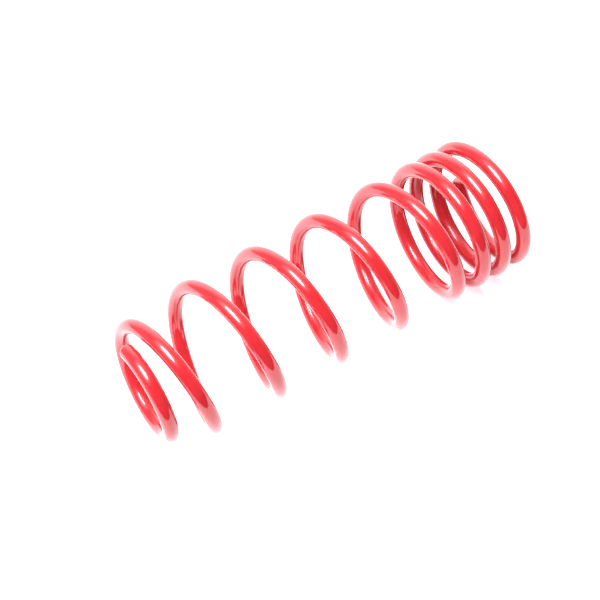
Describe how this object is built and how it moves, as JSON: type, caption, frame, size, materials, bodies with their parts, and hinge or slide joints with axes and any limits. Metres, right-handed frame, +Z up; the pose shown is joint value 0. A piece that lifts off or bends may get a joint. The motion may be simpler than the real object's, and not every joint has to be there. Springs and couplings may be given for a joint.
{
  "type": "coil spring",
  "caption": "Progressive suspension coil spring of round wire: a small pigtail end coil, wide-pitch working coils, and close-pitch coils with a plain end, in gloss red powder coat.",
  "frame": {"origin": "centre of the underside of the bounding box, on the floor the spring lies on", "axes": "+X along the spring's axis, from the pigtail end to the close-wound end; +Z up from the floor; -Y is the side facing the viewer"},
  "size_m": [0.325, 0.1096, 0.1096],
  "materials": {
    "red_powder_coat": "gloss powder coat"
  },
  "bodies": {
    "pigtail_end": {"pigtail_tip": "red_powder_coat", "pigtail_top_front": "red_powder_coat", "pigtail_bottom_front": "red_powder_coat", "pigtail_bottom_back": "red_powder_coat", "pigtail_top_back": "red_powder_coat"},
    "open_coil_1_top_front": {"open_coil_1_top_front": "red_powder_coat"},
    "open_coil_1_bottom_front": {"open_coil_1_bottom_front": "red_powder_coat"},
    "open_coil_1_bottom_back": {"open_coil_1_bottom_back": "red_powder_coat"},
    "open_coil_1_top_back": {"open_coil_1_top_back": "red_powder_coat"},
    "open_coil_2_top_front": {"open_coil_2_top_front": "red_powder_coat"},
    "open_coil_2_bottom_front": {"open_coil_2_bottom_front": "red_powder_coat"},
    "open_coil_2_bottom_back": {"open_coil_2_bottom_back": "red_powder_coat"},
    "open_coil_2_top_back": {"open_coil_2_top_back": "red_powder_coat"},
    "open_coil_3_top_front": {"open_coil_3_top_front": "red_powder_coat"},
    "open_coil_3_bottom_front": {"open_coil_3_bottom_front": "red_powder_coat"},
    "open_coil_3_bottom_back": {"open_coil_3_bottom_back": "red_powder_coat"},
    "open_coil_3_top_back": {"open_coil_3_top_back": "red_powder_coat"},
    "open_coil_4_top_front": {"open_coil_4_top_front": "red_powder_coat"},
    "open_coil_4_bottom_front": {"open_coil_4_bottom_front": "red_powder_coat"},
    "open_coil_4_bottom_back": {"open_coil_4_bottom_back": "red_powder_coat"},
    "open_coil_4_top_back": {"open_coil_4_top_back": "red_powder_coat"},
    "pitch_change": {"pitch_change_quarter": "red_powder_coat"},
    "close_coil_1_bottom": {"close_coil_1_bottom": "red_powder_coat"},
    "close_coil_1_top": {"close_coil_1_top": "red_powder_coat"},
    "close_coil_2_bottom": {"close_coil_2_bottom": "red_powder_coat"},
    "close_coil_2_top": {"close_coil_2_top": "red_powder_coat"},
    "close_coil_3_bottom": {"close_coil_3_bottom": "red_powder_coat"},
    "close_end": {"end_coil_top_back": "red_powder_coat", "end_coil_top_front": "red_powder_coat", "end_coil_bottom_front": "red_powder_coat", "end_coil_tip": "red_powder_coat"}
  },
  "joints": [
    {"name": "open_coils_compress", "type": "slide", "parent": "pigtail_end", "child": "pitch_change", "axis": [-1, 0, 0], "range_m": [0, 0.155], "stiffness_N_per_m": 47500},
    {"name": "close_coils_compress", "type": "slide", "parent": "pitch_change", "child": "close_end", "axis": [-1, 0, 0], "range_m": [0, 0.015], "stiffness_N_per_m": 76000},
    {"name": "open_coil_1_top_front_closes_up", "type": "slide", "parent": "pigtail_end", "child": "open_coil_1_top_front", "axis": [-1, 0, 0], "range_m": [0, 0.00485]},
    {"name": "open_coil_1_bottom_front_closes_up", "type": "slide", "parent": "pigtail_end", "child": "open_coil_1_bottom_front", "axis": [-1, 0, 0], "range_m": [0, 0.01453]},
    {"name": "open_coil_1_bottom_back_closes_up", "type": "slide", "parent": "pigtail_end", "child": "open_coil_1_bottom_back", "axis": [-1, 0, 0], "range_m": [0, 0.02422]},
    {"name": "open_coil_1_top_back_closes_up", "type": "slide", "parent": "pigtail_end", "child": "open_coil_1_top_back", "axis": [-1, 0, 0], "range_m": [0, 0.03391]},
    {"name": "open_coil_2_top_front_closes_up", "type": "slide", "parent": "pigtail_end", "child": "open_coil_2_top_front", "axis": [-1, 0, 0], "range_m": [0, 0.0436]},
    {"name": "open_coil_2_bottom_front_closes_up", "type": "slide", "parent": "pigtail_end", "child": "open_coil_2_bottom_front", "axis": [-1, 0, 0], "range_m": [0, 0.05328]},
    {"name": "open_coil_2_bottom_back_closes_up", "type": "slide", "parent": "pigtail_end", "child": "open_coil_2_bottom_back", "axis": [-1, 0, 0], "range_m": [0, 0.06297]},
    {"name": "open_coil_2_top_back_closes_up", "type": "slide", "parent": "pigtail_end", "child": "open_coil_2_top_back", "axis": [-1, 0, 0], "range_m": [0, 0.07266]},
    {"name": "open_coil_3_top_front_closes_up", "type": "slide", "parent": "pigtail_end", "child": "open_coil_3_top_front", "axis": [-1, 0, 0], "range_m": [0, 0.08235]},
    {"name": "open_coil_3_bottom_front_closes_up", "type": "slide", "parent": "pigtail_end", "child": "open_coil_3_bottom_front", "axis": [-1, 0, 0], "range_m": [0, 0.09203]},
    {"name": "open_coil_3_bottom_back_closes_up", "type": "slide", "parent": "pigtail_end", "child": "open_coil_3_bottom_back", "axis": [-1, 0, 0], "range_m": [0, 0.10172]},
    {"name": "open_coil_3_top_back_closes_up", "type": "slide", "parent": "pigtail_end", "child": "open_coil_3_top_back", "axis": [-1, 0, 0], "range_m": [0, 0.11141]},
    {"name": "open_coil_4_top_front_closes_up", "type": "slide", "parent": "pigtail_end", "child": "open_coil_4_top_front", "axis": [-1, 0, 0], "range_m": [0, 0.12109]},
    {"name": "open_coil_4_bottom_front_closes_up", "type": "slide", "parent": "pigtail_end", "child": "open_coil_4_bottom_front", "axis": [-1, 0, 0], "range_m": [0, 0.13078]},
    {"name": "open_coil_4_bottom_back_closes_up", "type": "slide", "parent": "pigtail_end", "child": "open_coil_4_bottom_back", "axis": [-1, 0, 0], "range_m": [0, 0.14047]},
    {"name": "open_coil_4_top_back_closes_up", "type": "slide", "parent": "pigtail_end", "child": "open_coil_4_top_back", "axis": [-1, 0, 0], "range_m": [0, 0.15016]},
    {"name": "close_coil_1_bottom_closes_up", "type": "slide", "parent": "pitch_change", "child": "close_coil_1_bottom", "axis": [-1, 0, 0], "range_m": [0, 0.0015]},
    {"name": "close_coil_1_top_closes_up", "type": "slide", "parent": "pitch_change", "child": "close_coil_1_top", "axis": [-1, 0, 0], "range_m": [0, 0.0045]},
    {"name": "close_coil_2_bottom_closes_up", "type": "slide", "parent": "pitch_change", "child": "close_coil_2_bottom", "axis": [-1, 0, 0], "range_m": [0, 0.0075]},
    {"name": "close_coil_2_top_closes_up", "type": "slide", "parent": "pitch_change", "child": "close_coil_2_top", "axis": [-1, 0, 0], "range_m": [0, 0.0105]},
    {"name": "close_coil_3_bottom_closes_up", "type": "slide", "parent": "pitch_change", "child": "close_coil_3_bottom", "axis": [-1, 0, 0], "range_m": [0, 0.0135]}
  ],
  "couplings": [
    {"joint": "open_coil_1_top_front_closes_up", "follows": "open_coils_compress", "ratio": 0.03125},
    {"joint": "open_coil_1_bottom_front_closes_up", "follows": "open_coils_compress", "ratio": 0.09375},
    {"joint": "open_coil_1_bottom_back_closes_up", "follows": "open_coils_compress", "ratio": 0.15625},
    {"joint": "open_coil_1_top_back_closes_up", "follows": "open_coils_compress", "ratio": 0.21875},
    {"joint": "open_coil_2_top_front_closes_up", "follows": "open_coils_compress", "ratio": 0.28125},
    {"joint": "open_coil_2_bottom_front_closes_up", "follows": "open_coils_compress", "ratio": 0.34375},
    {"joint": "open_coil_2_bottom_back_closes_up", "follows": "open_coils_compress", "ratio": 0.40625},
    {"joint": "open_coil_2_top_back_closes_up", "follows": "open_coils_compress", "ratio": 0.46875},
    {"joint": "open_coil_3_top_front_closes_up", "follows": "open_coils_compress", "ratio": 0.53125},
    {"joint": "open_coil_3_bottom_front_closes_up", "follows": "open_coils_compress", "ratio": 0.59375},
    {"joint": "open_coil_3_bottom_back_closes_up", "follows": "open_coils_compress", "ratio": 0.65625},
    {"joint": "open_coil_3_top_back_closes_up", "follows": "open_coils_compress", "ratio": 0.71875},
    {"joint": "open_coil_4_top_front_closes_up", "follows": "open_coils_compress", "ratio": 0.78125},
    {"joint": "open_coil_4_bottom_front_closes_up", "follows": "open_coils_compress", "ratio": 0.84375},
    {"joint": "open_coil_4_bottom_back_closes_up", "follows": "open_coils_compress", "ratio": 0.90625},
    {"joint": "open_coil_4_top_back_closes_up", "follows": "open_coils_compress", "ratio": 0.96875},
    {"joint": "close_coil_1_bottom_closes_up", "follows": "close_coils_compress", "ratio": 0.1},
    {"joint": "close_coil_1_top_closes_up", "follows": "close_coils_compress", "ratio": 0.3},
    {"joint": "close_coil_2_bottom_closes_up", "follows": "close_coils_compress", "ratio": 0.5},
    {"joint": "close_coil_2_top_closes_up", "follows": "close_coils_compress", "ratio": 0.7},
    {"joint": "close_coil_3_bottom_closes_up", "follows": "close_coils_compress", "ratio": 0.9}
  ]
}
